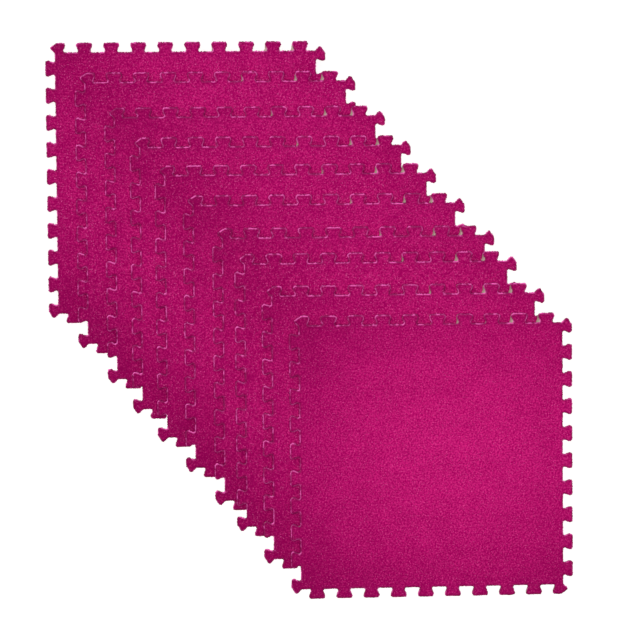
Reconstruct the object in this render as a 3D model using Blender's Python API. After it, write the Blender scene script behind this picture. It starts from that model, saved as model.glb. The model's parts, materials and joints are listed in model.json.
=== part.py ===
"""Fanned pile of interlocking blocking mats, the squares a knitter pins damp work onto.

Every mat is a square foam base with a short-pile plush face bonded to it.  The four edges carry the
same row of dovetail tabs, turned by a quarter turn from one edge to the next, so any edge of one mat
fits any edge of another.  The mats lie flat, one on the other, and each can slide back along its own
step until it is square on the mat beneath it.

Metres, +Z up.  The origin is the centre of the lowest mat's underside.
"""

import math

import bmesh
import bpy
from mathutils import Matrix, Vector

# Edge of a mat ------------------------------------------------------------------------------------
TILE_PITCH = 0.300         # centre to centre of two mats that are joined edge to edge
TABS_PER_SIDE = 10
STRIP_WIDTH = 0.0108       # strip between two joined mats, shared by both rows of tabs
TIP_CLEARANCE = 0.0002     # from a tab's tip to the floor of the socket it sits in
SIDE_CLEARANCE = 0.0003    # from a tab's side to the side of the socket
TAB_WIDTH = 0.0171         # at the shoulders, the widest part of a tab
SHOULDER_HEIGHT = 0.0084
TIP_WIDTH = 0.0148         # flat end, between the cut-off corners
CORNER_TAB_FLAT = 0.0016   # blunt end of the pointed tab at each corner
CORNER_TAB_SLOPE = 0.0020  # from the corner to where the pointed tab reaches its full height

# Thickness of a mat -------------------------------------------------------------------------------
MAT_THICKNESS = 0.0100
PLUSH_THICKNESS = 0.0022
BOND_GAP = 0.0003          # adhesive film between the foam and the plush
RESTING_GAP = 0.0003       # between one mat's plush and the next mat's foam

# Pile ---------------------------------------------------------------------------------------------
# How far each mat lies from the centre of the one beneath it, from the second mat up.
FAN_STEPS = (
    (0.0325, -0.0335),
    (0.0320, -0.0390),
    (0.0275, -0.0330),
    (0.0270, -0.0310),
    (0.0305, -0.0330),
    (0.0315, -0.0360),
    (0.0235, -0.0280),
    (0.0290, -0.0350),
    (0.0290, -0.0325),
)

# Sizes that follow from the ones above ------------------------------------------------------------
TAB_PITCH = TILE_PITCH / TABS_PER_SIDE
BODY_SIDE = TILE_PITCH - STRIP_WIDTH
TAB_HEIGHT = STRIP_WIDTH - TIP_CLEARANCE
FIRST_TAB_CENTRE = TAB_PITCH / 4 - STRIP_WIDTH / 2
# A tab draws in toward its root by as much as leaves room for the joined mat's tabs beside it.
WAIST_WIDTH = TAB_PITCH - TAB_WIDTH - 2 * SIDE_CLEARANCE
WAIST_HEIGHT = STRIP_WIDTH - SHOULDER_HEIGHT
ROOT_WIDTH = TAB_PITCH - TIP_WIDTH - 2 * SIDE_CLEARANCE
FOAM_THICKNESS = MAT_THICKNESS - PLUSH_THICKNESS - BOND_GAP

# Colours, linear RGB ------------------------------------------------------------------------------
PLUSH_COLOUR = (0.445, 0.007, 0.133, 1.0)
FOAM_COLOUR = (0.445, 0.361, 0.301, 1.0)


def clear_scene():
    """Remove every object of the scene the script starts in."""
    for thing in list(bpy.data.objects):
        bpy.data.objects.remove(thing, do_unlink=True)


def make_material(name, colour, roughness):
    """Return a plain Principled material."""
    material = bpy.data.materials.new(name)
    material.use_nodes = True
    shader = material.node_tree.nodes["Principled BSDF"]
    shader.inputs["Base Color"].default_value = colour
    shader.inputs["Roughness"].default_value = roughness
    shader.inputs["Metallic"].default_value = 0.0
    material.diffuse_color = colour
    return material


def half_tab():
    """Right half of a tab about its middle, from tip to root, as (along, outward)."""
    return [
        (TIP_WIDTH / 2, TAB_HEIGHT),
        (TAB_WIDTH / 2, SHOULDER_HEIGHT),
        (WAIST_WIDTH / 2, WAIST_HEIGHT),
        (ROOT_WIDTH / 2, 0.0),
    ]


def corner_tab():
    """Outline of the pointed tab at the start of an edge, as (along, outward) from the corner."""
    reach = (STRIP_WIDTH - CORNER_TAB_FLAT) / 2
    pointed_side = [
        (0.0, 0.0),
        (-reach, reach),
        (-reach, reach + CORNER_TAB_FLAT),
        (CORNER_TAB_SLOPE, TAB_HEIGHT),
    ]
    return pointed_side + [(FIRST_TAB_CENTRE + along, outward) for along, outward in half_tab()]


def dovetail_tab(centre):
    """Outline of one tab, the same on both sides of its middle, as (along, outward)."""
    right = half_tab()
    left = [(centre - along, outward) for along, outward in reversed(right)]
    return left + [(centre + along, outward) for along, outward in right]


def edge_outline():
    """Outline of one edge, from its corner tab to its last tab."""
    points = corner_tab()
    for index in range(1, TABS_PER_SIDE):
        points += dovetail_tab(FIRST_TAB_CENTRE + index * TAB_PITCH)
    return points


def mat_outline():
    """Closed outline of a mat about its centre: the top edge, turned clockwise four times."""
    outline = []
    for quarter in range(4):
        turn = Matrix.Rotation(-quarter * math.pi / 2, 3, "Z")
        for along, outward in edge_outline():
            top_edge_point = Vector((along - BODY_SIDE / 2, BODY_SIDE / 2 + outward, 0.0))
            outline.append(turn @ top_edge_point)
    return outline


def sheet_mesh(name, thickness, material):
    """Return a mesh of the mat's outline, extruded upward from z = 0."""
    shape = bmesh.new()
    corners = [shape.verts.new(point) for point in mat_outline()]
    underside = shape.faces.new(corners)
    raised = bmesh.ops.extrude_face_region(shape, geom=[underside], use_keep_orig=True)
    lifted = [part for part in raised["geom"] if isinstance(part, bmesh.types.BMVert)]
    bmesh.ops.translate(shape, verts=lifted, vec=(0.0, 0.0, thickness))
    bmesh.ops.recalc_face_normals(shape, faces=shape.faces)
    mesh = bpy.data.meshes.new(name)
    shape.to_mesh(mesh)
    shape.free()
    mesh.materials.append(material)
    return mesh


def add_to_scene(name, data, parent, location):
    """Link a new object, or an empty where data is None, under its parent."""
    thing = bpy.data.objects.new(name, data)
    thing.parent = parent
    thing.location = location
    bpy.context.scene.collection.objects.link(thing)
    return thing


def build_pile():
    """Build the mats from the bottom of the pile up, each parented to the one beneath it."""
    foam_mesh = sheet_mesh("foam_base", FOAM_THICKNESS, make_material("foam", FOAM_COLOUR, 0.80))
    plush_mesh = sheet_mesh("plush_top", PLUSH_THICKNESS, make_material("plush", PLUSH_COLOUR, 0.95))
    plush_height = FOAM_THICKNESS + BOND_GAP
    rise = MAT_THICKNESS + RESTING_GAP

    mat = add_to_scene("mat_01", None, None, (0.0, 0.0, 0.0))
    mats = [mat]
    for number, (right, forward) in enumerate(FAN_STEPS, start=2):
        mat = add_to_scene(f"mat_{number:02d}", None, mat, (right, forward, rise))
        mats.append(mat)
    for mat in mats:
        add_to_scene(f"{mat.name}_foam_base", foam_mesh, mat, (0.0, 0.0, 0.0))
        add_to_scene(f"{mat.name}_plush_top", plush_mesh, mat, (0.0, 0.0, plush_height))


clear_scene()
build_pile()
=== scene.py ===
"""The fanned pile of blocking mats: tufted plush faces bonded to die-cut foam, on a pale floor.

Every mat takes its outline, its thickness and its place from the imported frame.  The plush gets its
tufts and its rolled, ragged edge, and the foam its cut wall and its embossed underside, as geometry.
Metres, +Z up, in the frame's own coordinates.
"""

import json
import math

import bpy
import numpy as np
from mathutils import Matrix, Vector
from mathutils.geometry import delaunay_2d_cdt
from mathutils.kdtree import KDTree

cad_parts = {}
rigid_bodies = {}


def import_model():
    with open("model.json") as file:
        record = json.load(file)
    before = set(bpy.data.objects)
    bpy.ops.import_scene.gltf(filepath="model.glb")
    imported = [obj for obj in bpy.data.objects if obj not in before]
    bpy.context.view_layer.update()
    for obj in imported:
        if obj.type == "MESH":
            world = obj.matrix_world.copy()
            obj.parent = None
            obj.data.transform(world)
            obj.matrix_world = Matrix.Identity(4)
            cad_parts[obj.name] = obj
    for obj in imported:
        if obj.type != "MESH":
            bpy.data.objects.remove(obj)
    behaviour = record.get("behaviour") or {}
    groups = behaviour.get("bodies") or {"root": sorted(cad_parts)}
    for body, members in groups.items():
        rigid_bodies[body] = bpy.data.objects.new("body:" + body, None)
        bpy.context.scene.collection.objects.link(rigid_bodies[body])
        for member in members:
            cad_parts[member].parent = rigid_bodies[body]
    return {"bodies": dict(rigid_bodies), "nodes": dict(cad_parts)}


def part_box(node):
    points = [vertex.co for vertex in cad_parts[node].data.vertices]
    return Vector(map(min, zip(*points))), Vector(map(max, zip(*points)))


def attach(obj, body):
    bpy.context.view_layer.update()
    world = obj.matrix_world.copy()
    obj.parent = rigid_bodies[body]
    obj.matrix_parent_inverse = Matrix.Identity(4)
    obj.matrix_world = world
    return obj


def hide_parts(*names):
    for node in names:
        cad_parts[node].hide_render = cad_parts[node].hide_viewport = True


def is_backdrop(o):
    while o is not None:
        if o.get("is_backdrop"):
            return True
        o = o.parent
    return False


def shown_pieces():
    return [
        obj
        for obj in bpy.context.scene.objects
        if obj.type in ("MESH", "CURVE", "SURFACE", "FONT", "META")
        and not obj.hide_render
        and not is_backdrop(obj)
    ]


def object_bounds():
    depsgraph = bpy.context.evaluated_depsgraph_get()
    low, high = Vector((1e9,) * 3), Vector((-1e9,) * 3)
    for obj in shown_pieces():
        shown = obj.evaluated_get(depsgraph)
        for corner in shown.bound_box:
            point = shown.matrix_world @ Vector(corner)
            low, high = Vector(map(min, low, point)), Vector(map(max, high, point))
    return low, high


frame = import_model()
CAD_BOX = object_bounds()

# One mat, from the CAD: all ten are alike ----------------------------------------------------------
PLUSH_NODE, FOAM_NODE = "mat_01_plush_top", "mat_01_foam_base"
PLUSH_LOW, PLUSH_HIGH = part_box(PLUSH_NODE)
FOAM_LOW, FOAM_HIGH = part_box(FOAM_NODE)
PLUSH_HEIGHT = PLUSH_HIGH.z - PLUSH_LOW.z
FOAM_HEIGHT = FOAM_HIGH.z - FOAM_LOW.z
HALF_SIDE = (PLUSH_HIGH.x - PLUSH_LOW.x) / 2

MM = 0.001

# Outline ------------------------------------------------------------------------------------------
CORNER_RADIUS = 2.4 * MM      # asked of every corner of a tab or socket, where its sides leave room
CORNER_SHARE = 0.46           # most of a side that one rounded corner may use up
OUTLINE_SPACING = 0.75 * MM
TAB_REACH = 10.8 * MM         # from the root of a tab to its tip

# Plush --------------------------------------------------------------------------------------------
PILE_SPACING = 1.22 * MM      # between neighbouring points of the pile
PILE_JITTER = 0.24            # of that spacing
TUFT_SIZE = 2.7 * MM          # from the middle of one clump of pile to the next
TUFT_DEPTH = 0.70 * MM        # from the top of a clump to the bottom of the gap beside it
TUFT_CONTRAST = 0.9
STRAY_FIBRES = 0.30           # share of the depth that single points stray by
WAVES = 56                    # plane waves summed to make the pile's pattern
EDGE_ROLL = 1.3 * MM          # width of the rolled edge
ROLL_DROP = 0.9               # height of the rolled edge, as a share of its width
ROLL_FLATTENS = 0.6           # share of the tufts' depth lost at the foot of the roll
EDGE_SHADE = 2.6 * MM         # width of the band of painted shade along the rolled edge
EDGE_RAGGED = 0.20 * MM       # how far the cut edge wanders in and out
RAGGED_WAVES = ((5.0 * MM, 0.6), (1.9 * MM, 0.4))    # lengths of its waves, and the share of each
FRINGE = 1.00 * MM            # how far the fibres of the far edge stand out below the rolled edge
FRINGE_SHARES = (1.0, 0.72, 0.50, 0.70)      # of that, and of the fringe's pale colour and painted highlight, at the back, left, front and right edges
FRINGE_HEIGHT = 0.40          # where it stands out, as a share of the plush's thickness
FRINGE_GRAIN, FRINGE_UNEVEN = 2.2 * MM, 0.3  # size and share of its unevenness
FRINGE_ROOT = 0.45            # how much of the fringe's pale colour and painted highlight shows where it leaves the rolled edge
SHADE_SHARES = (0.85, 1.0, 0.95, 0.55)       # of the band of painted shade, in the same order
BACKING_THICKNESS = 0.7 * MM  # woven backing under the pile
RIM_RINGS = (0.38 * MM, 0.85 * MM)

# Foam ---------------------------------------------------------------------------------------------
CUT_HOLLOW = 0.16 * MM        # how far the cut wall draws in at mid height
CUT_ROUGHNESS, CUT_GRAIN = 0.06 * MM, 1.6 * MM
FOAM_EDGE = 0.35 * MM         # softened edge along the top and the underside
# Heights of the wall's rings, as shares of the foam's, and the share of the softened edge at each.
CUT_LEVELS = ((0.0, 1.0), (0.09, 0.25), (0.2, 0.0), (0.4, 0.0),
              (0.6, 0.0), (0.8, 0.0), (0.92, 0.2), (1.0, 1.0))
SLANT = 4.6 * MM              # how far the die's lean carries the foot of the cut beside a far tab
SLANTED_FLANKS = ((0.77, 1.0), (0.575, 0.9), (0.19, 0.55))   # place in half sides, share of the slant
FLANK_REACH = 0.06            # half of the width of outline that one flank takes up, in half sides
SLANT_FROM, SLANT_TO, SLANT_END = 0.15, 0.90, 1.02   # where it sets in, is full and ends: 0 tip, 1 root
GRIP_PITCH = 7.5 * MM         # of the waffle embossed in the underside
GRIP_STEPS = 3                # points of the underside per pitch
GRIP_DEPTH = 0.45 * MM
GRIP_MARGIN = 0.45            # bare rim round the waffle, in spaces between its points


def srgb(red, green, blue):
    """Linear RGBA of a colour given as 0 to 255 screen values."""
    def linear(value):
        value /= 255
        return value / 12.92 if value <= 0.04045 else ((value + 0.055) / 1.055) ** 2.4
    return linear(red), linear(green), linear(blue), 1.0


# Shapes -------------------------------------------------------------------------------------------
def cut_outline(node):
    """Corners of a CAD sheet's outline, anticlockwise, about the sheet's centre."""
    low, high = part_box(node)
    middle = (low + high) / 2
    mesh = frame["nodes"][node].data
    sides = set()
    for face in mesh.polygons:
        if face.normal.z > 0.9:
            corners = [(mesh.vertices[index].co - middle).xy.freeze() for index in face.vertices]
            sides.update(zip(corners, corners[1:] + corners[:1]))
    following = {start: end for start, end in sides if (end, start) not in sides}
    outline = [min(following, key=lambda corner: (corner.x, corner.y))]
    while following[outline[-1]] != outline[0]:
        outline.append(following[outline[-1]])
    return outline


def rounded(corners, arc_points=7):
    """The outline with each corner turned into a curve between its two sides."""
    path = []
    for index, corner in enumerate(corners):
        back = corners[index - 1] - corner
        ahead = corners[(index + 1) % len(corners)] - corner
        room = CORNER_SHARE * min(back.length, ahead.length)
        reach = min(CORNER_RADIUS / math.tan(back.angle(ahead) / 2), room)
        start = corner + back.normalized() * reach
        end = corner + ahead.normalized() * reach
        for step in range(arc_points + 1):
            share = step / arc_points
            path.append(start.lerp(corner, share).lerp(corner.lerp(end, share), share))
    return np.array(path)


def evenly_spaced(path, spacing):
    """Points about one spacing apart round a closed path, and the outward direction at each."""
    closed = np.vstack([path, path[:1]])
    along = np.concatenate([[0.0], np.cumsum(np.hypot(*np.diff(closed, axis=0).T))])
    count = round(along[-1] / spacing)
    stations = np.arange(count) * along[-1] / count
    points = np.column_stack([np.interp(stations, along, closed[:, axis]) for axis in (0, 1)])
    tangent = np.roll(points, -1, axis=0) - np.roll(points, 1, axis=0)
    tangent /= np.linalg.norm(tangent, axis=1, keepdims=True)
    return points, np.column_stack([tangent[:, 1], -tangent[:, 0]])


def nearest_edge(points, outline, outward):
    """Distance of each point to the outline, positive inside, and the way the outline faces there."""
    tree = KDTree(len(outline))
    for index, place in enumerate(outline):
        tree.insert((*place, 0.0), index)
    tree.balance()
    nearest = np.array([tree.find((*place, 0.0))[1] for place in points])
    gap = outline[nearest] - points
    inside = np.sum(gap * outward[nearest], axis=1)
    return np.copysign(np.linalg.norm(gap, axis=1), inside), outward[nearest]


def well_inside(points, outline, outward, margin):
    """Those of the points that lie further inside the outline than the margin."""
    return points[nearest_edge(points, outline, outward)[0] > margin]


def by_direction(facing, shares):
    """The share of the back, left, front or right at each point, blended by the way it faces."""
    back, left, front, right = shares
    across, along = facing.T
    return (np.where(along > 0, back, front) * along ** 2
            + np.where(across < 0, left, right) * across ** 2)


def triangular_lattice(half_side, spacing):
    """Points of a triangular lattice over a square."""
    rise = spacing * math.sqrt(3) / 2
    rows = math.ceil(half_side / rise)
    columns = math.ceil(half_side / spacing)
    row, column = np.mgrid[-rows:rows + 1, -columns:columns + 1]
    return np.column_stack([((column + (row % 2) / 2) * spacing).ravel(), (row * rise).ravel()])


def square_lattice(half_side, spacing):
    """Points of a square lattice over a square."""
    count = math.ceil(half_side / spacing)
    row, column = np.mgrid[-count:count + 1, -count:count + 1]
    return np.column_stack([column.ravel(), row.ravel()]) * spacing


def filled(outline, inner):
    """Triangles, anticlockwise, over the outline and the points inside it."""
    points = [Vector(place) / MM for place in np.vstack([outline, inner])]
    sides = [(index, (index + 1) % len(outline)) for index in range(len(outline))]
    _, _, faces, sources, _, _ = delaunay_2d_cdt(points, sides, [], 1, 1e-4)
    source = [found[0] for found in sources]
    if sorted(source) != list(range(len(points))):
        raise ValueError("two points of a sheet are too close together")
    return [tuple(source[corner] for corner in face) for face in faces]


def wall_faces(rings, size):
    """Quads between rings of points that run anticlockwise, each ring given by its first index."""
    faces = []
    for upper, lower in zip(rings, rings[1:]):
        for index in range(size):
            beside = (index + 1) % size
            faces.append((upper + index, lower + index, lower + beside, upper + beside))
    return faces


def smooth_noise(points, size, rng, waves=WAVES, spread=0.38):
    """Isotropic noise of one grain size at each point, with a mean of 0 and a deviation of 1."""
    angle = rng.uniform(0, 2 * math.pi, waves)
    number = 2 * math.pi / (size * (1 + rng.uniform(-spread, spread, waves)))
    phase = rng.uniform(0, 2 * math.pi, waves)
    total = np.zeros(len(points))
    for turn, wave, shift in zip(angle, number, phase):
        along = points[:, 0] * math.cos(turn) + points[:, 1] * math.sin(turn)
        total += np.cos(wave * along + shift)
    return total / math.sqrt(waves / 2)


def set_attribute(mesh, name, values, kind="FLOAT"):
    """Store one number, or one vector, for each vertex, for the materials to read."""
    layer = mesh.attributes.new(name, kind, "POINT")
    layer.data.foreach_set("value" if kind == "FLOAT" else "vector", values.astype(np.float32).ravel())


def shade(mesh, flat_faces):
    """Smooth all of a mesh but the given faces."""
    smooth = np.ones(len(mesh.polygons), bool)
    smooth[flat_faces] = False
    mesh.polygons.foreach_set("use_smooth", smooth)


def mat_place(points, number):
    """Where each point lies on its mat, in half sides, with the mat's number as a third value."""
    return np.column_stack([points / HALF_SIDE, np.full(len(points), 7.0 * number)])


# Plush --------------------------------------------------------------------------------------------
class PlushSheet:
    """What all ten plush faces share: where their points are and how they join up."""

    def __init__(self, outline, outward, thickness):
        self.outline, self.outward, self.thickness = outline, outward, thickness
        rings = []
        for inset in RIM_RINGS:
            ring = outline - outward * inset
            rings.append(well_inside(ring, outline, outward, 0.9 * inset)[::2])
        pile = triangular_lattice(HALF_SIDE, PILE_SPACING)
        pile = well_inside(pile, outline, outward, RIM_RINGS[-1] + 0.62 * PILE_SPACING)
        self.loose = len(outline) + sum(map(len, rings))
        self.top = np.vstack([outline, *rings, pile])
        inner = self.top[len(outline):]
        depth_in, facing = nearest_edge(self.top, outline, outward)
        depth_in[:len(outline)] = 0.0
        self.rim = 1 - np.clip(depth_in / EDGE_ROLL, 0, 1)
        # Painted shade that darkens the pile along the rolled edge, more at some edges than at others.
        self.painted_edge_shade = (1 - np.clip(depth_in / EDGE_SHADE, 0, 1)) * by_direction(facing, SHADE_SHARES)
        self.swept = by_direction(outward, FRINGE_SHARES)
        size, count = len(outline), len(self.top)
        wall_rings = [0, count, count + size, count + 2 * size]
        self.faces = filled(outline, inner) + wall_faces(wall_rings, size)
        self.faces.append(tuple(reversed(range(wall_rings[-1], wall_rings[-1] + size))))

    def mesh(self, name, number):
        """One mat's plush, with its own pattern of tufts, about the centre of its underside."""
        rng = np.random.default_rng(100 + number)
        size = len(self.outline)
        flat = self.top.copy()
        wander = rng.uniform(-1, 1, (len(flat) - self.loose, 2)) * PILE_JITTER * PILE_SPACING
        flat[self.loose:] += wander

        tufts = smooth_noise(flat, TUFT_SIZE, rng)
        pile = 0.5 + 0.5 * np.tanh(TUFT_CONTRAST * tufts)
        pile += STRAY_FIBRES * rng.uniform(-1, 1, len(flat))
        pile = np.clip(pile, 0, 1)
        roll = 1 - np.sqrt(1 - self.rim ** 2)
        sunk = TUFT_DEPTH * (1 - pile) * (1 - ROLL_FLATTENS * roll)
        height = self.thickness - sunk - EDGE_ROLL * roll * ROLL_DROP

        waves = sum(share * smooth_noise(self.outline, length, rng) for length, share in RAGGED_WAVES)
        edge = self.outward * (EDGE_RAGGED * np.clip(waves, -2, 2))[:, None]
        flat[:size] += edge
        parts = [np.column_stack([flat, height])]
        uneven = np.clip(smooth_noise(self.outline, FRINGE_GRAIN, rng), -1.6, 1.6)
        fringe = (FRINGE * (1 + FRINGE_UNEVEN * uneven) * self.swept)[:, None]
        backing = BACKING_THICKNESS / self.thickness
        for out, up in ((fringe, FRINGE_HEIGHT), (0.0, backing), (0.0, 0.0)):
            ring = self.outline + edge / 2 + self.outward * out
            parts.append(np.column_stack([ring, np.full(size, up * self.thickness)]))
        points = np.vstack(parts)

        mesh = bpy.data.meshes.new(name)
        mesh.from_pydata(points, [], self.faces)
        set_attribute(mesh, "pile", np.concatenate([pile, np.tile(pile[:size], 3)]))
        set_attribute(mesh, "painted_edge_shade", np.concatenate([self.painted_edge_shade, np.tile(self.painted_edge_shade[:size], 3)]))
        # The fringe's pale colour: partly the fibre ends' own, partly painted highlight, brightest at
        # the back edges.
        pale_and_lit_fringe = np.concatenate([np.zeros(len(flat)), np.tile(self.swept, 3)])
        pale_and_lit_fringe[:size] = FRINGE_ROOT * self.swept
        set_attribute(mesh, "fringe", pale_and_lit_fringe)
        set_attribute(mesh, "place", mat_place(points[:, :2], number), "FLOAT_VECTOR")
        shade(mesh, [len(self.faces) - 1])
        return mesh


# Foam ---------------------------------------------------------------------------------------------
class FoamSheet:
    """What all ten foam bases share."""

    def __init__(self, outline, outward, thickness):
        self.outline, self.outward, self.thickness = outline, outward, thickness
        grip = square_lattice(HALF_SIDE, GRIP_PITCH / GRIP_STEPS)
        self.grip = well_inside(grip, outline, outward, GRIP_MARGIN * GRIP_PITCH / GRIP_STEPS)
        size = len(outline)
        rings = [len(self.grip) + level * size for level in reversed(range(len(CUT_LEVELS)))]
        underside = [tuple(reversed([self.spot(corner, size) for corner in face]))
                     for face in filled(outline, self.grip)]
        self.faces = underside + wall_faces(rings, size)
        self.faces.append(tuple(range(rings[0], rings[0] + size)))
        self.slant = self.slanted_cut()

    def slanted_cut(self):
        """How far left of its top the foot of the cut lies: on some left flanks of the far edge."""
        across = self.outline[:, 0] / HALF_SIDE
        below_tip = (HALF_SIDE - self.outline[:, 1]) / TAB_REACH
        facing_left = np.clip(-self.outward[:, 0], 0, 1)
        share = sum(amount * (abs(across - flank) < FLANK_REACH) for flank, amount in SLANTED_FLANKS)
        toward_root = np.clip((below_tip - SLANT_FROM) / (SLANT_TO - SLANT_FROM), 0, 1)
        toward_root *= below_tip < SLANT_END
        return SLANT * facing_left * share * toward_root

    def spot(self, corner, size):
        """Index in the mesh of a corner of the underside: the waffle's points, then the lowest ring."""
        return corner + len(self.grip) if corner < size else corner - size

    def mesh(self, name, number):
        """One mat's foam about the centre of its underside."""
        rng = np.random.default_rng(200 + number)
        cell = np.round(self.grip / (GRIP_PITCH / GRIP_STEPS)).astype(int)
        groove = np.any(cell % GRIP_STEPS == 0, axis=1)
        sunk = GRIP_DEPTH * groove * rng.uniform(0.85, 1.0, len(self.grip))
        parts = [np.column_stack([self.grip, sunk])]
        for up, edge in CUT_LEVELS:
            hollow = CUT_HOLLOW * math.sin(math.pi * up)
            rough = CUT_ROUGHNESS * smooth_noise(self.outline, CUT_GRAIN, rng) * (1 - edge)
            ring = self.outline + self.outward * (rough - hollow - FOAM_EDGE * edge)[:, None]
            ring[:, 0] -= self.slant * math.sqrt(1 - up)
            parts.append(np.column_stack([ring, np.full(len(ring), up * self.thickness)]))
        points = np.vstack(parts)

        mesh = bpy.data.meshes.new(name)
        mesh.from_pydata(points, [], self.faces)
        set_attribute(mesh, "place", mat_place(points[:, :2], number), "FLOAT_VECTOR")
        set_attribute(mesh, "rise", points[:, 2] / self.thickness)
        shade(mesh, [len(self.faces) - 1])
        return mesh


# Materials ----------------------------------------------------------------------------------------
class Nodes:
    """Short forms for building a material's nodes."""

    def __init__(self, name):
        self.material = bpy.data.materials.new(name)
        self.material.use_nodes = True
        self.tree = self.material.node_tree
        self.shader = self.tree.nodes["Principled BSDF"]

    def add(self, kind, **settings):
        node = self.tree.nodes.new(kind)
        for name, value in settings.items():
            setattr(node, name, value)
        return node

    def feed(self, target, value):
        """Put a number, a colour or another node's output into an input."""
        if isinstance(value, bpy.types.NodeSocket):
            self.tree.links.new(value, target)
        else:
            target.default_value = value

    def attribute(self, name, output="Fac"):
        return self.add("ShaderNodeAttribute", attribute_name=name).outputs[output]

    def sum(self, operation, first, second=0.0, third=0.0):
        node = self.add("ShaderNodeMath", operation=operation)
        for target, value in zip(node.inputs, (first, second, third)):
            self.feed(target, value)
        return node.outputs[0]

    def noise(self, place, grain, detail=2.0):
        """Noise with grains of the given size in metres."""
        node = self.add("ShaderNodeTexNoise")
        self.feed(node.inputs["Vector"], place)
        node.inputs["Scale"].default_value = HALF_SIDE / grain
        node.inputs["Detail"].default_value = detail
        return node.outputs["Fac"]

    def cells(self, place, grain):
        """Distance to the middle of the nearest of scattered cells of the given size in metres."""
        node = self.add("ShaderNodeTexVoronoi")
        self.feed(node.inputs["Vector"], place)
        node.inputs["Scale"].default_value = HALF_SIDE / grain
        return node.outputs["Distance"]

    def stretch(self, value, low, high, to_low=0.0, to_high=1.0):
        """Map low to high onto a new range, holding at its ends."""
        node = self.add("ShaderNodeMapRange", clamp=True)
        for target, number in zip(node.inputs, (value, low, high, to_low, to_high)):
            self.feed(target, number)
        return node.outputs["Result"]

    def mix(self, share, first, second, blend="MIX"):
        node = self.add("ShaderNodeMix", data_type="RGBA", blend_type=blend)
        self.feed(node.inputs["Factor"], share)
        self.feed(node.inputs[6], first)
        self.feed(node.inputs[7], second)
        return node.outputs[2]

    def bump(self, height, distance, strength=1.0):
        node = self.add("ShaderNodeBump")
        self.feed(node.inputs["Height"], height)
        node.inputs["Distance"].default_value = distance
        node.inputs["Strength"].default_value = strength
        self.feed(self.shader.inputs["Normal"], node.outputs["Normal"])


# The gap colour is painted shade in the pile's hollows; the tip colour is painted highlight on the
# fibre tips.
PLUSH_GAP_SHADED = srgb(157, 0, 88)
PLUSH_TIP_LIT = srgb(199, 31, 116)
# painted highlight: glinting fibres
PLUSH_PAINTED_GLINT = srgb(236, 92, 166)
# painted shadow of the rolled edge
PLUSH_EDGE_SHADOW = srgb(108, 0, 56)
# pale fringe: partly the fibre ends' own colour, partly painted highlight
FRINGE_PALE_AND_LIT = srgb(255, 106, 198)
FOAM_DARK = srgb(157, 133, 124)
FOAM_LIGHT = srgb(197, 173, 163)
# Painted shade: a vignette darker toward each mat's edges.
SHADE_ACROSS, SHADE_MIDDLE_X = 0.14, 0.20     # how the painted vignette darkens the pile to the sides, and from where
SHADE_ALONG, SHADE_MIDDLE_Y = 0.19, 0.08      # the same toward the front and back
VIGNETTE_DARKEST = 0.66
FIBRE_GRAIN, GLINT_GRAIN, CLUMP_GRAIN = 0.9 * MM, 1.3 * MM, 2.0 * MM
PALE_GRAIN, PATCH_GRAIN = 6.0 * MM, 28.0 * MM
CELL_GRAIN, MOTTLE_GRAIN = 0.8 * MM, 6.0 * MM


def painted_vignette(nodes, place):
    """Painted shade: a vignette that darkens the pile toward a mat's edges."""
    parts = nodes.add("ShaderNodeSeparateXYZ")
    nodes.feed(parts.inputs[0], place)
    across = nodes.sum("POWER", nodes.sum("SUBTRACT", parts.outputs["X"], SHADE_MIDDLE_X), 2.0)
    along = nodes.sum("POWER", nodes.sum("SUBTRACT", parts.outputs["Y"], SHADE_MIDDLE_Y), 2.0)
    across = nodes.sum("MULTIPLY", across, SHADE_ACROSS)
    along = nodes.sum("MULTIPLY", along, SHADE_ALONG)
    loss = nodes.sum("ADD", across, along)
    return nodes.sum("MAXIMUM", nodes.sum("SUBTRACT", 1.0, loss), VIGNETTE_DARKEST)


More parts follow.
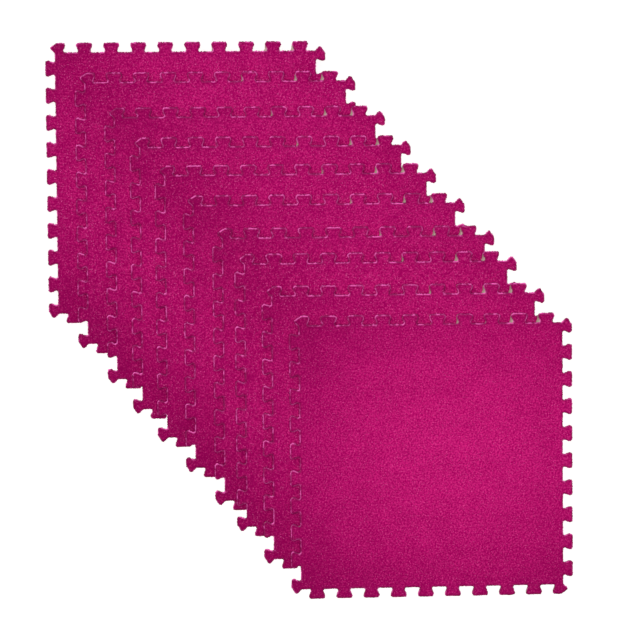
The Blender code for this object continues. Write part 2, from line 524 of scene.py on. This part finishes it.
def plush_material():
    """Magenta cut pile: painted shade in gaps, vignette and rolled edge; painted highlight on tips and
    glints; pale fringe partly painted highlight.
    """
    nodes = Nodes("plush")
    place = nodes.attribute("place", "Vector")
    pile = nodes.attribute("pile")
    fibres = nodes.noise(place, FIBRE_GRAIN, 2.0)
    clumps = nodes.noise(place, CLUMP_GRAIN, 1.0)
    patches = nodes.stretch(nodes.noise(place, PATCH_GRAIN, 3.0), 0.3, 0.7, 0.96, 1.04)
    # the painted vignette, times random patches of lighter and darker pile
    tone = nodes.sum("MULTIPLY", painted_vignette(nodes, place), patches)
    # painted shade in the gaps and painted highlight on the tips, by the pile's height and fibre noise
    height = nodes.sum("ADD", nodes.sum("MULTIPLY", pile, 0.4), fibres)
    height = nodes.sum("ADD", height, nodes.sum("MULTIPLY", clumps, 0.9))
    height = nodes.sum("MULTIPLY_ADD", tone, 0.5, height)
    colour = nodes.mix(nodes.stretch(height, 1.49, 1.83), PLUSH_GAP_SHADED, PLUSH_TIP_LIT)
    # painted glints of light on single fibres
    painted_glints = nodes.stretch(nodes.noise(place, GLINT_GRAIN, 1.0), 0.63, 0.76, 0.0, 0.8)
    colour = nodes.mix(painted_glints, colour, PLUSH_PAINTED_GLINT)
    colour = nodes.mix(1.0, colour, tone, "MULTIPLY")

    # painted shade along the rolled edge
    edge_shading = nodes.stretch(nodes.attribute("painted_edge_shade"), 0.0, 1.0, 0.0, 0.62)
    colour = nodes.mix(edge_shading, colour, PLUSH_EDGE_SHADOW)
    # the broken pale fringe: partly the fibre ends' own colour, partly painted highlight
    broken = nodes.stretch(nodes.noise(place, PALE_GRAIN, 2.0), 0.455, 0.615, 0.12, 0.95)
    fringe = nodes.sum("MULTIPLY", nodes.attribute("fringe"), broken)
    colour = nodes.mix(nodes.stretch(fringe, 0.0, 0.60), colour, FRINGE_PALE_AND_LIT)

    shader = nodes.shader
    nodes.feed(shader.inputs["Base Color"], colour)
    nodes.feed(shader.inputs["Roughness"], nodes.stretch(fibres, 0.2, 0.8, 0.82, 1.0))
    shader.inputs["Specular IOR Level"].default_value = 0.02
    shader.inputs["Sheen Weight"].default_value = 0.05
    shader.inputs["Sheen Roughness"].default_value = 0.5
    shader.inputs["Sheen Tint"].default_value = srgb(255, 70, 160)
    nodes.bump(nodes.noise(place, 0.7 * MM, 2.0), 0.35 * MM, 0.8)
    return nodes.material


def foam_material():
    """Warm grey closed-cell foam: small cells, faint mottling and rough cut walls."""
    nodes = Nodes("foam")
    place = nodes.attribute("place", "Vector")
    rise = nodes.attribute("rise")
    offset = nodes.add("ShaderNodeCombineXYZ")
    nodes.feed(offset.inputs["Z"], nodes.sum("MULTIPLY", rise, FOAM_HEIGHT / HALF_SIDE))
    spot = nodes.add("ShaderNodeVectorMath", operation="ADD")
    nodes.feed(spot.inputs[0], place)
    nodes.feed(spot.inputs[1], offset.outputs[0])
    spot = spot.outputs[0]
    cells = nodes.stretch(nodes.cells(spot, CELL_GRAIN), 0.0, 0.6)
    mottle = nodes.noise(spot, MOTTLE_GRAIN, 3.0)
    share = nodes.sum("ADD", nodes.sum("MULTIPLY", cells, 0.6), nodes.sum("MULTIPLY", mottle, 0.6))
    colour = nodes.mix(nodes.stretch(share, 0.2, 1.0), FOAM_DARK, FOAM_LIGHT)
    nodes.feed(nodes.shader.inputs["Base Color"], colour)
    nodes.feed(nodes.shader.inputs["Roughness"], nodes.stretch(mottle, 0.3, 0.7, 0.7, 0.88))
    nodes.shader.inputs["Specular IOR Level"].default_value = 0.3
    nodes.bump(cells, 0.12 * MM, 0.6)
    return nodes.material


# Mats ---------------------------------------------------------------------------------------------
def place_piece(name, mesh, material, node, body):
    """Stand a new piece where its CAD node is."""
    low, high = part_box(node)
    mesh.materials.append(material)
    piece = bpy.data.objects.new(name, mesh)
    piece.location = ((low.x + high.x) / 2, (low.y + high.y) / 2, low.z)
    bpy.context.scene.collection.objects.link(piece)
    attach(piece, body)
    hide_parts(node)


def build_mats():
    """Every mat's plush and foam."""
    corners = cut_outline(PLUSH_NODE)
    outline, outward = evenly_spaced(rounded(corners), OUTLINE_SPACING)
    plush = PlushSheet(outline, outward, PLUSH_HEIGHT)
    foam = FoamSheet(outline, outward, FOAM_HEIGHT)
    plush_finish, foam_finish = plush_material(), foam_material()
    for number, body in enumerate(sorted(frame["bodies"]), start=1):
        mesh = plush.mesh(f"{body}_plush", number)
        place_piece(f"{body}_plush", mesh, plush_finish, f"{body}_plush_top", body)
        mesh = foam.mesh(f"{body}_foam", number)
        place_piece(f"{body}_foam", mesh, foam_finish, f"{body}_foam_base", body)


# Studio -------------------------------------------------------------------------------------------
FLOOR_SIZE = 24.0
FLOOR_DROP = 0.3 * MM
AMBIENT = 0.38                # light on a level face from all round, where 1 shows white as white
KEY_LIGHT = 0.70              # from the lamp overhead
SIDE_LIGHT = 0.10             # from the low lamp at the back left
FLOOR_GLOW = 0.74             # the floor's own light, in place of the lamps, which light the mats alone
LAMP_DISTANCE, LAMP_SIZE = 4.2, 1.2
SIDE_RISE = math.radians(28)

FLOOR_GRAIN = 3.0             # scale of its faint mottling
FLOOR_TONES = (0.93, 0.93, 0.93, 1.0), (0.95, 0.95, 0.95, 1.0)

CAMERA_DISTANCE = 3.5
LEAN_WEST, LEAN_NORTH = math.radians(4.0), math.radians(4.0)
CAMERA_ROLL = math.radians(0.51)
LENS, SENSOR = 177.5, 36.0
AIM_OFFSET = Vector((0.0131, -0.0026, -0.0013))


def floor_material():
    """Pale matt floor with a glow of its own."""
    nodes = Nodes("studio_floor")
    place = nodes.add("ShaderNodeTexCoord").outputs["Object"]
    grain = nodes.add("ShaderNodeTexNoise")
    nodes.feed(grain.inputs["Vector"], place)
    grain.inputs["Scale"].default_value = FLOOR_GRAIN
    tone = nodes.stretch(grain.outputs["Fac"], 0.0, 1.0)
    nodes.feed(nodes.shader.inputs["Base Color"], nodes.mix(tone, *FLOOR_TONES))
    nodes.shader.inputs["Roughness"].default_value = 0.9
    nodes.shader.inputs["Specular IOR Level"].default_value = 0.0
    nodes.shader.inputs["Emission Color"].default_value = (1.0, 1.0, 1.0, 1.0)
    nodes.shader.inputs["Emission Strength"].default_value = FLOOR_GLOW
    return nodes.material


def add_floor(middle):
    """A wide pale floor just under the lowest mat."""
    half = FLOOR_SIZE / 2
    mesh = bpy.data.meshes.new("studio_floor")
    corners = [(-half, -half, 0), (half, -half, 0), (half, half, 0), (-half, half, 0)]
    mesh.from_pydata(corners, [], [(0, 1, 2, 3)])
    mesh.materials.append(floor_material())
    floor = bpy.data.objects.new("studio_floor", mesh)
    floor.location = (middle.x, middle.y, CAD_BOX[0].z - FLOOR_DROP)
    bpy.context.scene.collection.objects.link(floor)
    floor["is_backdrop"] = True


def add_world():
    """Even light from all round, behind a backdrop as pale as the floor."""
    world = bpy.data.worlds.new("studio")
    bpy.context.scene.world = world
    world.use_nodes = True
    tree = world.node_tree
    ray = tree.nodes.new("ShaderNodeLightPath")
    strength = tree.nodes.new("ShaderNodeMapRange")
    strength.inputs["To Min"].default_value = AMBIENT
    strength.inputs["To Max"].default_value = 1.0
    tree.links.new(ray.outputs["Is Camera Ray"], strength.inputs["Value"])
    background = tree.nodes["Background"]
    background.inputs["Color"].default_value = (1.0, 1.0, 1.0, 1.0)
    tree.links.new(strength.outputs["Result"], background.inputs["Strength"])


def add_lamp(name, aim, direction, light):
    """A broad round lamp that gives this much light on a level face at its aim."""
    lamp = bpy.data.lights.new(name, "AREA")
    lamp.shape = "DISK"
    lamp.size = LAMP_SIZE
    lamp.energy = light / direction.z * (math.pi * LAMP_DISTANCE) ** 2
    thing = bpy.data.objects.new(name, lamp)
    thing.location = aim + direction * LAMP_DISTANCE
    thing.rotation_euler = (-direction).to_track_quat("-Z", "Y").to_euler()
    bpy.context.scene.collection.objects.link(thing)
    return thing


def light_only_mats(lamps):
    """Keep the lamps' light, and so their shadows, off the floor."""
    mats = bpy.data.collections.new("mats")
    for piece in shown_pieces():
        mats.objects.link(piece)
    for lamp in lamps:
        lamp.light_linking.receiver_collection = mats


def add_camera(aim, direction):
    """A long lens almost straight above the pile."""
    camera = bpy.data.cameras.new("camera")
    camera.lens = LENS
    camera.sensor_width = SENSOR
    thing = bpy.data.objects.new("camera", camera)
    up = Vector((math.sin(CAMERA_ROLL), math.cos(CAMERA_ROLL), 0.0))
    right = up.cross(direction).normalized()
    turn = Matrix((right, direction.cross(right), direction)).transposed()
    thing.matrix_world = Matrix.Translation(aim + direction * CAMERA_DISTANCE) @ turn.to_4x4()
    bpy.context.scene.collection.objects.link(thing)
    bpy.context.scene.camera = thing


def build_studio():
    """Floor, world, lamps and camera."""
    middle = (CAD_BOX[0] + CAD_BOX[1]) / 2
    aim = middle + AIM_OFFSET
    direction = Vector((-math.tan(LEAN_WEST), math.tan(LEAN_NORTH), 1.0)).normalized()
    add_floor(middle)
    add_world()
    level = math.cos(SIDE_RISE) * math.sqrt(0.5)
    back_left = Vector((-level, level, math.sin(SIDE_RISE)))
    light_only_mats([
        add_lamp("overhead_lamp", aim, direction, KEY_LIGHT),
        add_lamp("side_lamp", aim, back_left, SIDE_LIGHT),
    ])
    add_camera(aim, direction)
    bpy.context.scene.view_settings.view_transform = "Standard"


build_mats()
build_studio()
